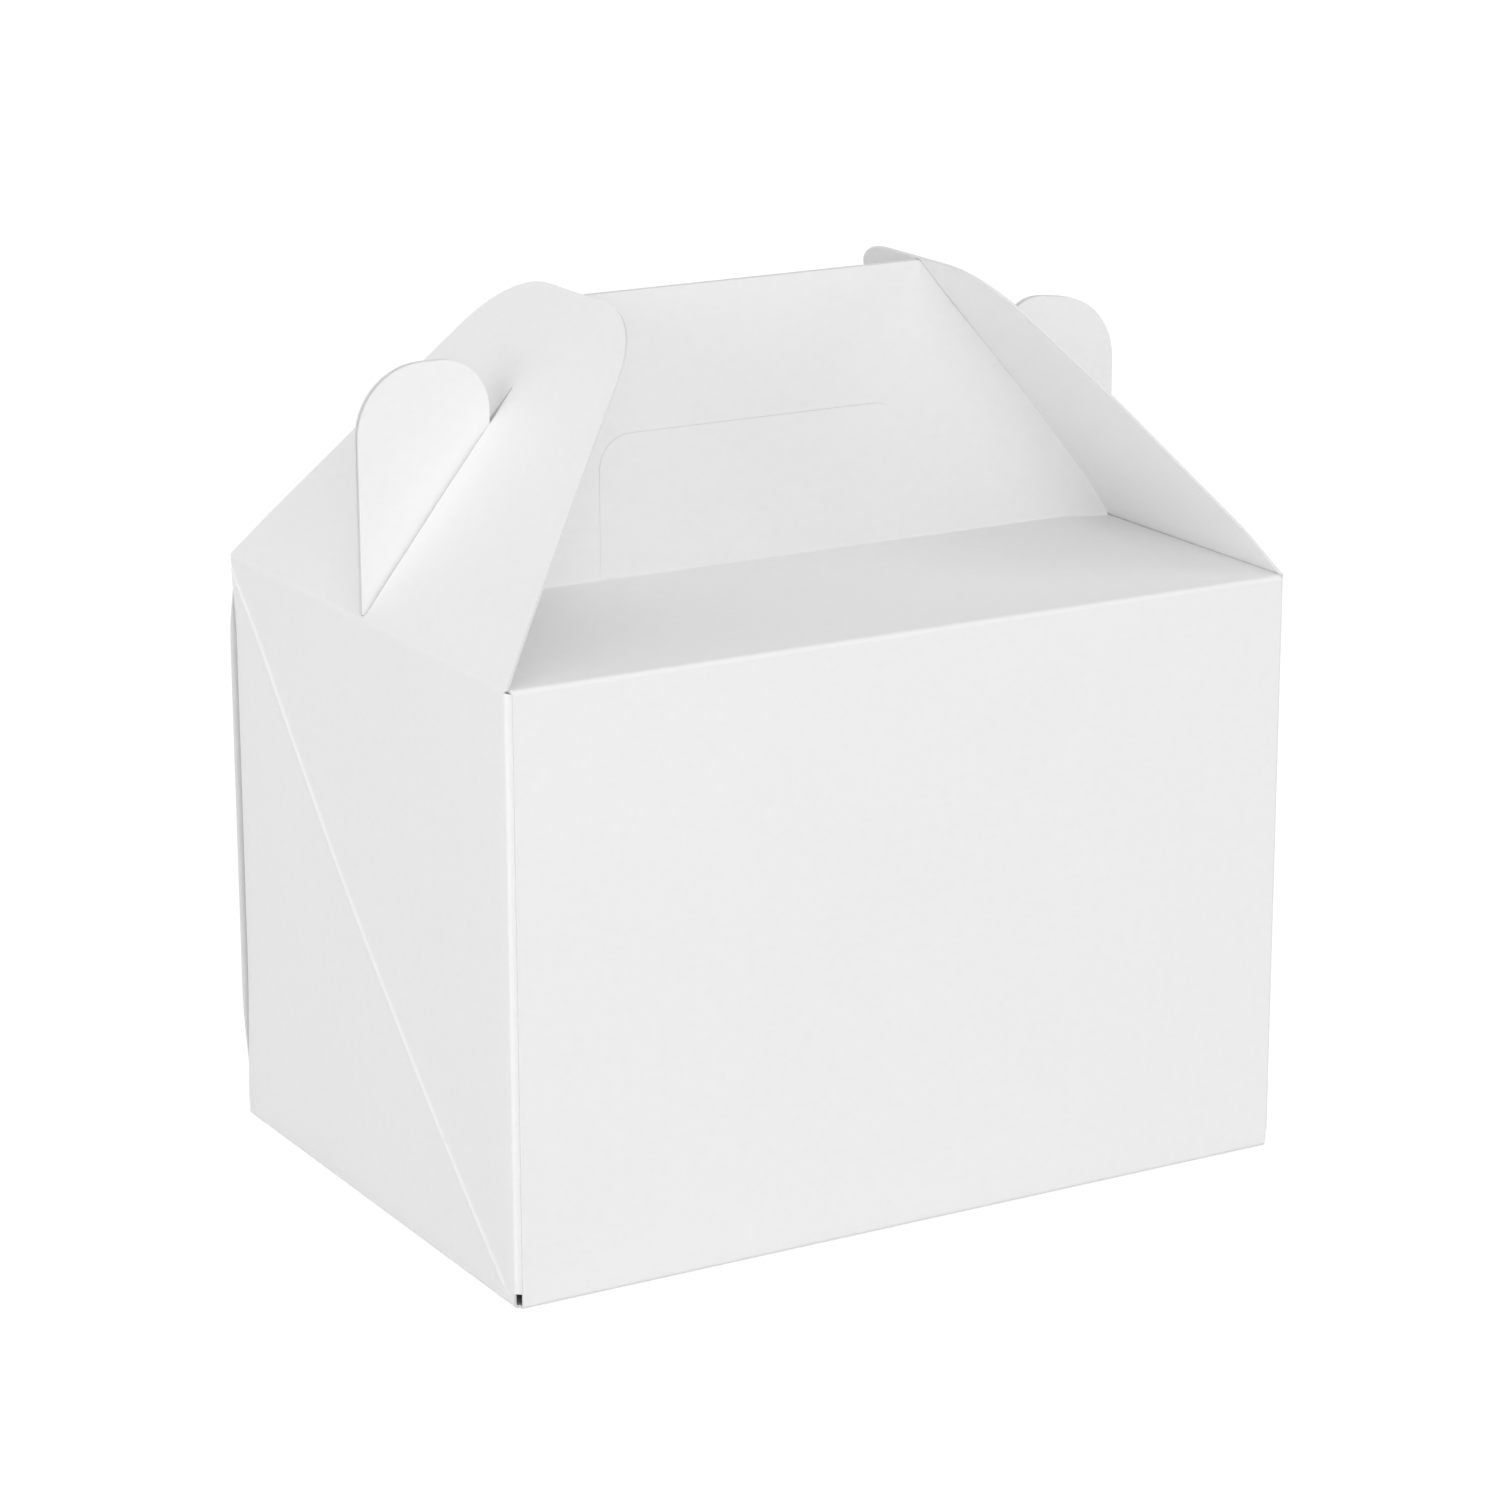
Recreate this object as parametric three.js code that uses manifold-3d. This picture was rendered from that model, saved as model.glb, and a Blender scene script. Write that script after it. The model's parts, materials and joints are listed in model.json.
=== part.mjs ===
// White paper lunch box: one sheet of card folded and glued into a closed carton, with a
// carry handle of two upright centre panels. At each end a flap leans in over the handle's
// sloping shoulder, and a slot in it holds the pair of ears that stick up from the handle.
// Frame: X runs along the front from left to right, Y from the front to the back, Z up.
// The origin is the middle of the underside.
import * as THREE from "three";
import { mergeVertices } from "three/addons/utils/BufferGeometryUtils.js";
import Module from "manifold-3d";

const wasm = await Module();
wasm.setup();

// Driving dimensions, in millimetres, and angles in degrees.
const LENGTH = 200; // outside, along the front
const DEPTH = 143; // outside, front to back
const WALL_HEIGHT = 139; // from the table to the top of the flat roof
const CARD = 0.6; // thickness of the card
const FOLD_RADIUS = 0.5; // inside radius of every fold
const WRAP_SETBACK = 1.4; // raw edges of the front, back and roof, in from the end walls
const GLUE_FLAP_WIDTH = 20; // flaps of the end walls, glued inside the front and back
const GLUE_FLAP_LIFT = 4; // their lower ends above the table
const GLUE_FLAP_DROP = 3; // their upper ends below the roof
const HANDLE_RISE = 67; // top edge of the handle above the roof
const HANDLE_GAP = 0.6; // between the two centre panels
const SHOULDER_ANGLE = 51; // slope of the end flaps at rest, and of the handle's shoulders
const EAR_INSET = 0.4; // outer edge of an ear, in from the end of the box
const EAR_WIDTH = 32.2; // from an ear's outer edge to its inner edge
const EAR_RISE = 56; // top of the ears above the roof
const EAR_OUTER_RADIUS = 16;
const EAR_INNER_RADIUS = 12;
const FLAP_TAPER = 24.7; // how far each side of an end flap leans in
const FLAP_OVERHANG = 0.8; // of an end flap past the handle's top edge
const FLAP_CORNER_RADIUS = 27;
const HAND_TAB_WIDTH = 80;
const HAND_TAB_HEIGHT = 33;
const HAND_TAB_CORNER_RADIUS = 8;
const DIAGONAL_ANGLE = 45; // slope of the crease across each end wall
const DIAGONAL_FOOT = 4; // where it starts at the table, in from the front edge
const DIAGONAL_RIDGE_WIDTH = 1.6;
const DIAGONAL_RIDGE_HEIGHT = 0.3;
const DIAGONAL_END_MARGIN = 3; // where the crease fades out, short of the wall's folds

// Clearances, in millimetres.
const HINGE_CLEARANCE = 0.3; // between a flap's rounded foot and the card it folds on
const REST_CLEARANCE = 0.3; // between an end flap and the shoulder it leans on
const SLOT_CLEARANCE = 0.5; // each side of the pair of ears, in the slot
const SLOT_END_CLEARANCE = 1; // past the farthest reach of the ears as the flap swings
const KERF = 0.3; // cut line around a hand tab

// Fineness of the curves.
const FOLD_STEPS = 6;
const CORNER_STEPS = 8;
const SAME_POINT = 1e-4;

// Near whites for the carton, the end flaps and the hand tabs.
const CARD_WHITE = 0xebebeb;
const FLAP_WHITE = 0xe7e7e7;
const TAB_WHITE = 0xe4e4e4;
const CARD_ROUGHNESS = 0.75;

// Worked out from the sizes above.
const shoulder = THREE.MathUtils.degToRad(SHOULDER_ANGLE);
const foldOuterRadius = FOLD_RADIUS + CARD;
const wrapHalf = LENGTH / 2 - WRAP_SETBACK;
const glueY = DEPTH / 2 - CARD; // outer face of the glue flaps
const hingeX = LENGTH / 2 - CARD / 2;
const hingeZ = WALL_HEIGHT - CARD / 2;
const endWallTop = hingeZ - CARD / 2 - HINGE_CLEARANCE;
const handleTop = WALL_HEIGHT + HANDLE_RISE;
const panelNear = HANDLE_GAP / 2;
const panelFar = panelNear + CARD;
const panelFoot = WALL_HEIGHT + FOLD_RADIUS;
const tabHingeZ = panelFoot + FOLD_RADIUS + CARD / 2 + HINGE_CLEARANCE;
const earOuterX = LENGTH / 2 - EAR_INSET;
const earInnerX = earOuterX - EAR_WIDTH;
const earTop = WALL_HEIGHT + EAR_RISE;
const slotHalf = panelFar + SLOT_CLEARANCE;
const flapLength = (handleTop - hingeZ) / Math.sin(shoulder) + FLAP_OVERHANG;
const flapHalf = glueY - HINGE_CLEARANCE;

// Farthest point of an ear from the end flap's hinge line: it lies on the inner corner's arc.
const earReach =
  Math.hypot(hingeX - earInnerX - EAR_INNER_RADIUS, earTop - EAR_INNER_RADIUS - hingeZ) +
  EAR_INNER_RADIUS;
const slotLength = earReach + SLOT_END_CLEARANCE;

// Planes that a flat shape is drawn in, as its two drawing axes. It is extruded along their cross product.
const PLANES = {
  XY: [new THREE.Vector3(1, 0, 0), new THREE.Vector3(0, 1, 0)],
  YZ: [new THREE.Vector3(0, 1, 0), new THREE.Vector3(0, 0, 1)],
  ZX: [new THREE.Vector3(0, 0, 1), new THREE.Vector3(1, 0, 0)],
};

// A closed geometry as a solid that can be joined and cut.
function solid(geometry) {
  const bare = geometry.clone();
  bare.deleteAttribute("normal");
  bare.deleteAttribute("uv");
  const merged = mergeVertices(bare, SAME_POINT);
  return new wasm.Manifold(
    new wasm.Mesh({
      numProp: 3,
      vertProperties: merged.attributes.position.array,
      triVerts: new Uint32Array(merged.index.array),
    }),
  );
}

// A joined or cut solid as a geometry again.
function geometryOf(made) {
  const mesh = made.getMesh();
  const geometry = new THREE.BufferGeometry();
  geometry.setAttribute("position", new THREE.BufferAttribute(mesh.vertProperties, 3));
  geometry.setIndex(new THREE.BufferAttribute(mesh.triVerts, 1));
  const faceted = geometry.toNonIndexed();
  faceted.computeVertexNormals();
  return faceted;
}

// The points of an outline, counter-clockwise, and once where two stretches meet.
function outlinePoints(path) {
  const points = path.getPoints(CORNER_STEPS);
  const apart = (p, i) => p.distanceTo(points[(i + 1) % points.length]) > SAME_POINT;
  const kept = points.filter(apart);
  return THREE.ShapeUtils.isClockWise(kept) ? kept.reverse() : kept;
}

// A flat shape in one of the planes, extruded from one place to another across it.
function prism(shape, plane, from, to) {
  const [first, second] = PLANES[plane];
  const across = new THREE.Vector3().crossVectors(first, second);
  const outline = new THREE.Shape(outlinePoints(shape));
  outline.holes = shape.holes.map((hole) => new THREE.Path(outlinePoints(hole)));
  const geometry = new THREE.ExtrudeGeometry(outline, { depth: to - from, bevelEnabled: false });
  geometry.translate(0, 0, from);
  geometry.applyMatrix4(new THREE.Matrix4().makeBasis(first, second, across));
  return solid(geometry);
}

// Section of a card strip that follows a line of corners, with an arc at each fold.
// The corners give the middle of the card's thickness.
function foldedStrip(corners) {
  const radius = FOLD_RADIUS + CARD / 2;
  const left = [];
  const right = [];
  const add = (x, y, heading) => {
    const nx = (-Math.sin(heading) * CARD) / 2;
    const ny = (Math.cos(heading) * CARD) / 2;
    left.push(new THREE.Vector2(x + nx, y + ny));
    right.push(new THREE.Vector2(x - nx, y - ny));
  };
  const headings = corners.slice(1).map((c, i) => Math.atan2(c[1] - corners[i][1], c[0] - corners[i][0]));
  add(corners[0][0], corners[0][1], headings[0]);
  for (let i = 1; i < corners.length - 1; i++) {
    const before = headings[i - 1];
    const turn = Math.atan2(Math.sin(headings[i] - before), Math.cos(headings[i] - before));
    const side = Math.sign(turn);
    const setback = radius * Math.tan(Math.abs(turn) / 2);
    const startX = corners[i][0] - setback * Math.cos(before);
    const startY = corners[i][1] - setback * Math.sin(before);
    const centreX = startX - side * radius * Math.sin(before);
    const centreY = startY + side * radius * Math.cos(before);
    for (let k = 0; k <= FOLD_STEPS; k++) {
      const heading = before + (turn * k) / FOLD_STEPS;
      const x = centreX + side * radius * Math.sin(heading);
      const y = centreY - side * radius * Math.cos(heading);
      add(x, y, heading);
    }
  }
  const last = corners[corners.length - 1];
  add(last[0], last[1], headings[headings.length - 1]);
  return new THREE.Shape([...left, ...right.reverse()]);
}

// Height of the handle's sloping shoulder at a distance from the middle of the box.
function shoulderZ(x) {
  const drop = (CARD / 2 + REST_CLEARANCE) / Math.cos(shoulder);
  return hingeZ + (hingeX - x) * Math.tan(shoulder) - drop;
}

// Distance from the middle at which the shoulder reaches the handle's top edge.
function handleTopX() {
  const setIn = (CARD / 2 + REST_CLEARANCE) / Math.sin(shoulder);
  return hingeX - (handleTop - hingeZ) / Math.tan(shoulder) - setIn;
}

// Front panel, roof, walls and base in one strip: from one centre panel's foot, forward
// over the roof, down the front, under the base, up the back and over to the other panel.
function wrap() {
  const panelY = panelNear + CARD / 2;
  const wallY = DEPTH / 2 - CARD / 2;
  const roofZ = WALL_HEIGHT - CARD / 2;
  const baseZ = CARD / 2;
  const topZ = panelFoot + FOLD_RADIUS;
  const corners = [
    [-panelY, topZ],
    [-panelY, roofZ],
    [-wallY, roofZ],
    [-wallY, baseZ],
    [wallY, baseZ],
    [wallY, roofZ],
    [panelY, roofZ],
    [panelY, topZ],
  ];
  return prism(foldedStrip(corners), "YZ", -wrapHalf, wrapHalf);
}

// Outline of a hand tab, or of the window that it is cut from when it is grown by the kerf.
function handTabOutline(path, grow, footZ) {
  const half = HAND_TAB_WIDTH / 2 + grow;
  const top = tabHingeZ + HAND_TAB_HEIGHT + grow;
  const radius = HAND_TAB_CORNER_RADIUS + grow;
  path.moveTo(footZ, -half);
  path.lineTo(footZ, half);
  path.absarc(top - radius, half - radius, radius, Math.PI / 2, 0, true);
  path.absarc(top - radius, radius - half, radius, 0, -Math.PI / 2, true);
  path.lineTo(footZ, -half);
  return path;
}

// One centre panel with its two ears, its sloping shoulders and the hand tab's window.
// The outline is drawn with Z across the page and X up it.
function centrePanel(side) {
  const topX = handleTopX();
  const quarter = Math.PI / 2;
  const outerX = earOuterX - EAR_OUTER_RADIUS;
  const outerZ = earTop - EAR_OUTER_RADIUS;
  const innerX = earInnerX + EAR_INNER_RADIUS;
  const innerZ = earTop - EAR_INNER_RADIUS;
  const shape = new THREE.Shape();
  shape.moveTo(panelFoot, -earOuterX);
  shape.lineTo(panelFoot, earOuterX);
  shape.absarc(outerZ, outerX, EAR_OUTER_RADIUS, quarter, 0, true);
  shape.absarc(innerZ, innerX, EAR_INNER_RADIUS, 0, -quarter, true);
  shape.lineTo(shoulderZ(earInnerX), earInnerX);
  shape.lineTo(handleTop, topX);
  shape.lineTo(handleTop, -topX);
  shape.lineTo(shoulderZ(earInnerX), -earInnerX);
  shape.absarc(innerZ, -innerX, EAR_INNER_RADIUS, quarter, 0, true);
  shape.absarc(outerZ, -outerX, EAR_OUTER_RADIUS, 0, -quarter, true);
  shape.lineTo(panelFoot, -earOuterX);
  const windowFoot = tabHingeZ - CARD / 2 - HINGE_CLEARANCE;
  shape.holes.push(handTabOutline(new THREE.Path(), KERF, windowFoot));
  const near = side * panelNear;
  const far = side * panelFar;
  return prism(shape, "ZX", Math.min(near, far), Math.max(near, far));
}

// An end wall: folded up from the base, with a glue flap folded in at each upright edge.
function endWall(side) {
  const wallX = side * (LENGTH / 2 - CARD / 2);
  const lapX = side * (wrapHalf - 2 * foldOuterRadius);
  const upright = foldedStrip([
    [CARD / 2, lapX],
    [CARD / 2, wallX],
    [endWallTop, wallX],
  ]);
  const uprightHalf = glueY - foldOuterRadius;
  const glueMiddle = glueY - CARD / 2;
  const glueX = side * (LENGTH / 2 - GLUE_FLAP_WIDTH);
  const corners = foldedStrip([
    [glueX, -glueMiddle],
    [wallX, -glueMiddle],
    [wallX, glueMiddle],
    [glueX, glueMiddle],
  ]);
  const glued = prism(corners, "XY", GLUE_FLAP_LIFT, WALL_HEIGHT - GLUE_FLAP_DROP);
  return prism(upright, "ZX", -uprightHalf, uprightHalf).add(glued);
}

// Raised crease across an end wall, left by folding the carton flat before it was set up.
function diagonalCrease(side) {
  const angle = THREE.MathUtils.degToRad(DIAGONAL_ANGLE);
  const along = new THREE.Vector3(0, Math.cos(angle), Math.sin(angle));
  const outward = new THREE.Vector3(side, 0, 0);
  const across = new THREE.Vector3().crossVectors(outward, along);
  const half = DIAGONAL_RIDGE_WIDTH / 2;
  const ridge = new THREE.Shape();
  ridge.moveTo(-half, -CARD / 2);
  ridge.lineTo(half, -CARD / 2);
  ridge.lineTo(half, 0);
  ridge.lineTo(0, DIAGONAL_RIDGE_HEIGHT);
  ridge.lineTo(-half, 0);
  const byHeight = endWallTop / Math.sin(angle);
  const byDepth = (2 * glueY - DIAGONAL_FOOT) / Math.cos(angle);
  const length = Math.min(byHeight, byDepth) - DIAGONAL_END_MARGIN;
  const geometry = new THREE.ExtrudeGeometry(ridge, {
    depth: length - DIAGONAL_END_MARGIN,
    bevelEnabled: false,
  });
  geometry.translate(0, 0, DIAGONAL_END_MARGIN);
  geometry.applyMatrix4(new THREE.Matrix4().makeBasis(across, outward, along));
  geometry.translate((side * LENGTH) / 2, DIAGONAL_FOOT - glueY, 0);
  return solid(geometry);
}

// The glued carton: everything that stays put when the flaps move.
function carton() {
  let made = wrap().add(centrePanel(-1)).add(centrePanel(1));
  for (const side of [-1, 1]) made = made.add(endWall(side)).add(diagonalCrease(side));
  return geometryOf(made);
}

// Outline of an end flap, drawn with its width across the page and its length up it. The
// foot is square, the sides lean in, and the two upper corners are round.
function endFlapOutline() {
  const lean = THREE.MathUtils.degToRad(FLAP_TAPER);
  const tipHalf = flapHalf - flapLength * Math.tan(lean);
  const tangent = FLAP_CORNER_RADIUS * Math.tan((Math.PI / 2 - lean) / 2);
  const centreX = tipHalf - tangent;
  const centreY = flapLength - FLAP_CORNER_RADIUS;
  const shape = new THREE.Shape();
  shape.moveTo(-flapHalf, -CARD);
  shape.lineTo(flapHalf, -CARD);
  shape.lineTo(flapHalf, 0);
  shape.absarc(centreX, centreY, FLAP_CORNER_RADIUS, lean, Math.PI / 2, false);
  shape.absarc(-centreX, centreY, FLAP_CORNER_RADIUS, Math.PI / 2, Math.PI - lean, false);
  shape.lineTo(-flapHalf, 0);
  return shape;
}

// Slot that the pair of ears comes through, open at the flap's foot and round at its end.
function slotOutline() {
  const shape = new THREE.Shape();
  shape.moveTo(-slotHalf, -2 * CARD);
  shape.lineTo(slotHalf, -2 * CARD);
  shape.absarc(0, slotLength - slotHalf, slotHalf, 0, Math.PI, false);
  return shape;
}

// Section through a flap, with its foot rounded about the hinge line.
function flapSection(length) {
  const shape = new THREE.Shape();
  shape.moveTo(length, -CARD / 2);
  shape.lineTo(length, CARD / 2);
  shape.absarc(0, 0, CARD / 2, Math.PI / 2, (3 * Math.PI) / 2, false);
  return shape;
}

// An end flap about its hinge line: X across the flap, Y up it, Z through its thickness.
function endFlap() {
  const sheet = prism(flapSection(flapLength + CARD), "YZ", -flapHalf - CARD, flapHalf + CARD);
  const outline = prism(endFlapOutline(), "XY", -CARD, CARD);
  const slot = prism(slotOutline(), "XY", -2 * CARD, 2 * CARD);
  return geometryOf(sheet.intersect(outline).subtract(slot));
}

// A hand tab about its hinge line, in the same axes as an end flap.
function handTab() {
  const half = HAND_TAB_WIDTH / 2;
  const sheet = prism(flapSection(HAND_TAB_HEIGHT + CARD), "YZ", -half - CARD, half + CARD);
  const centreX = half - HAND_TAB_CORNER_RADIUS;
  const centreY = HAND_TAB_HEIGHT - HAND_TAB_CORNER_RADIUS;
  const shape = new THREE.Shape();
  shape.moveTo(-half, -CARD);
  shape.lineTo(half, -CARD);
  shape.absarc(centreX, centreY, HAND_TAB_CORNER_RADIUS, 0, Math.PI / 2, false);
  shape.absarc(-centreX, centreY, HAND_TAB_CORNER_RADIUS, Math.PI / 2, Math.PI, false);
  return geometryOf(sheet.intersect(prism(shape, "XY", -CARD, CARD)));
}

function cardMaterial(colour) {
  return new THREE.MeshStandardMaterial({
    color: colour,
    roughness: CARD_ROUGHNESS,
    metalness: 0,
  });
}

function named(name, geometry, colour) {
  const mesh = new THREE.Mesh(geometry, cardMaterial(colour));
  mesh.name = name;
  return mesh;
}

// Turns a flap's mesh so that its X runs along the hinge and its Y points up the flap.
function stand(mesh, alongHinge, upFlap) {
  const through = new THREE.Vector3().crossVectors(alongHinge, upFlap);
  mesh.setRotationFromMatrix(new THREE.Matrix4().makeBasis(alongHinge, upFlap, through));
}

const lunchBox = new THREE.Group();
lunchBox.add(named("carton", carton(), CARD_WHITE));

for (const [name, side] of [
  ["left_end_flap", -1],
  ["right_end_flap", 1],
]) {
  const flap = named(name, endFlap(), FLAP_WHITE);
  const upFlap = new THREE.Vector3(-side * Math.cos(shoulder), 0, Math.sin(shoulder));
  stand(flap, new THREE.Vector3(0, 1, 0), upFlap);
  flap.position.set(side * hingeX, 0, hingeZ);
  lunchBox.add(flap);
}

for (const [name, side] of [
  ["front_hand_tab", -1],
  ["back_hand_tab", 1],
]) {
  const tab = named(name, handTab(), TAB_WHITE);
  stand(tab, new THREE.Vector3(1, 0, 0), new THREE.Vector3(0, 0, 1));
  tab.position.set(0, side * (panelNear + CARD / 2), tabHingeZ);
  lunchBox.add(tab);
}

export default lunchBox;
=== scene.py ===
import json
import math

import bpy
import numpy as np
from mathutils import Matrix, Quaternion, Vector
from mathutils.geometry import delaunay_2d_cdt


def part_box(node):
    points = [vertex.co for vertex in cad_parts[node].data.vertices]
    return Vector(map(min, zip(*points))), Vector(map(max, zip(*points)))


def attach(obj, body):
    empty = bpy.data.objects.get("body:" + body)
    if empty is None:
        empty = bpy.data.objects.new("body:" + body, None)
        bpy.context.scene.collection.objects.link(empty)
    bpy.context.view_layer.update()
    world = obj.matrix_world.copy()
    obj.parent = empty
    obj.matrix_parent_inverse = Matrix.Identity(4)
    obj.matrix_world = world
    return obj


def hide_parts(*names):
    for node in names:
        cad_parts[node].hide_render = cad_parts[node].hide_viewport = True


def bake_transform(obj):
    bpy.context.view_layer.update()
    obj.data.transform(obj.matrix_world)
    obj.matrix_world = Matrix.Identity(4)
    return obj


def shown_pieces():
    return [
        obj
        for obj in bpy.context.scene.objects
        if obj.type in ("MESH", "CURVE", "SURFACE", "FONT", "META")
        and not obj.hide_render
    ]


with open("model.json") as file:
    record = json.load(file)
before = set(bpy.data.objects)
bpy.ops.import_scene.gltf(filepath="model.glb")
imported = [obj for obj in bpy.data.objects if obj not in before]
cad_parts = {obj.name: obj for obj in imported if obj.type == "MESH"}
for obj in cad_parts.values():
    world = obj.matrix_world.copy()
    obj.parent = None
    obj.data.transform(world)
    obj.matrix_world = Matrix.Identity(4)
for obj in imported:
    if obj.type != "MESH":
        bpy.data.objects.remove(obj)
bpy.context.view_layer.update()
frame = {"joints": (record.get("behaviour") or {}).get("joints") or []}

# A white card lunch box with a carry handle. Each piece is a die-cut blank: a flat outline,
# filled with triangles, that a function folds up. Lengths are in metres, in the CAD's frame.

MM = 0.001
CARD = 0.6 * MM
FOLD = 0.5 * MM + CARD / 2  # radius of a fold at the middle of the card
FOLD_ARC = FOLD * math.pi / 2  # length of card in a right-angled fold
STEP = 4 * MM  # distance between the points of a blank
FINE = 0.2 * MM  # distance between its rows across a fold
RIM_CLEAR = 0.15 * MM  # least distance of its inner points from its outlines
EXTRA_CLEAR = 0.5 * MM  # least distance of its grid from any extra points
SHARP_EDGE = math.radians(38)

# Sizes from the frame.
JOINTS = {j["name"]: j for j in frame["joints"]}
FLAP_HINGE = Vector(JOINTS["right_end_flap_fold"]["pos_m"])
TAB_HINGE = Vector(JOINTS["back_hand_tab_fold"]["pos_m"])
HALF_LENGTH = FLAP_HINGE.x + CARD / 2
ROOF_Z = FLAP_HINGE.z + CARD / 2
HALF_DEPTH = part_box("carton")[1].y
HANDLE_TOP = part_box("carton")[1].z
FLAP_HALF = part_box("right_end_flap")[1].y
TAB_LOW, TAB_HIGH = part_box("back_hand_tab")
PANEL_Y = TAB_HINGE.y

# Sizes of the wrap: the strip that makes the walls, roof, centre panels and ears.
WRAP_SETBACK = 1.4 * MM  # of the walls' side edges from the end walls' outer faces
ROOF_GAP = 0.4 * MM  # between the roof's short edges and the end walls
ROOF_TAPER = 0.3 * MM  # how far those edges draw in towards the handle, clear of the end flaps
ROOF_RISE = 1.2 * MM  # of the roof's fold at the handle, over the front edge
ROOF_STEP = 0.6 * MM  # half the length over which the strip widens from wall to roof
SHOULDER = math.radians(51)
SHOULDER_GAP = 0.06 * MM  # between a shoulder and the end flap that rests on it
SHOULDER_REACH = 26 * MM  # more than a shoulder's length along the box
SHOULDER_STEP = 1.5 * MM
HANDLE_CORNER = 0.5 * MM  # least drop of a shoulder's last step from the handle's top
EAR_INSET = 0.4 * MM
EAR_WIDTH = 32.2 * MM
EAR_HEIGHT = 56 * MM
EAR_OUTER_RADIUS = 16 * MM
EAR_INNER_RADIUS = 12 * MM
EAR_OUTER = HALF_LENGTH - EAR_INSET
EAR_INNER = EAR_OUTER - EAR_WIDTH
EAR_TOP = ROOF_Z + EAR_HEIGHT
TAB_CORNER_RADIUS = 8 * MM
KERF = 0.03 * MM

# Sizes of an end: the end wall with its glue flaps and its end flap.
GLUE_FLAP_WIDTH = 20 * MM
GLUE_FLAP_LIFT = 3.4 * MM  # of a glue flap's lower end from the floor
GLUE_FLAP_DROP = 1.6 * MM  # of its upper end from the roof
GLUE_FLAP_SLANT = 3 * MM
STRIP_FOOT = 2 * FOLD  # width of the strip round an upright edge, at the glue flap's lower end
STRIP_HEAD = 2.8 * FOLD  # and at its upper end
# The strip's steps above the glue flap: widths past the edge, and drops from the flap's fold.
STRIP_STEPS = ((2 * FOLD, 0.6 * MM), (0.6 * FOLD, 0.35 * MM), (0, 0.3 * MM))
FLAP_FOOT_RISE = 0.25 * MM  # of the end flap's lowest corners from its fold
FLAP_OVERHANG = 0.8 * MM
FLAP_TAPER = math.radians(24.7)
FLAP_CORNER_RADIUS = 27 * MM
SLOT_FOOT = 2.2 * MM
SLOT_FOOT_RADIUS = 1.4 * MM
SLOT_HALF = 1.6 * MM
SLOT_TAPER_START = 44 * MM
SLIT_START = 52 * MM
SLIT_HALF = 0.85 * MM
SLIT_TIP_RADIUS = 0.2 * MM
SLOT_LENGTH = 61.7 * MM
DIAGONAL_FOOT = 2 * MM  # where the end wall's crease starts, in from the front edge
DIAGONAL_TOP = 137 * MM  # where it ends, up the back edge
DIAGONAL_SAG = 4.6 * MM

# Strength and width of the painted highlight along the card's creases: a lighter colour in place of
# the light that the folds catch.
WRAP_CREASE_HIGHLIGHT = 0.15
END_CREASE_HIGHLIGHT = 0.12
TAB_CREASE_HIGHLIGHT = 0.15
CREASE_HIGHLIGHT_WIDTH = 0.5 * MM
DIAGONAL_HIGHLIGHT_WIDTH = 0.8 * MM
TAB_HIGHLIGHT_WIDTH = 0.4 * MM

WRAP_HALF = HALF_LENGTH - WRAP_SETBACK
ROOF_HALF = HALF_LENGTH - CARD - ROOF_GAP
WALL_X = HALF_LENGTH - CARD / 2
GLUE_MIDDLE = HALF_DEPTH - CARD - CARD / 2
UPRIGHT_HALF = GLUE_MIDDLE - FOLD
FLAP_LENGTH = (HANDLE_TOP - FLAP_HINGE.z) / math.sin(SHOULDER) + FLAP_OVERHANG


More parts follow.
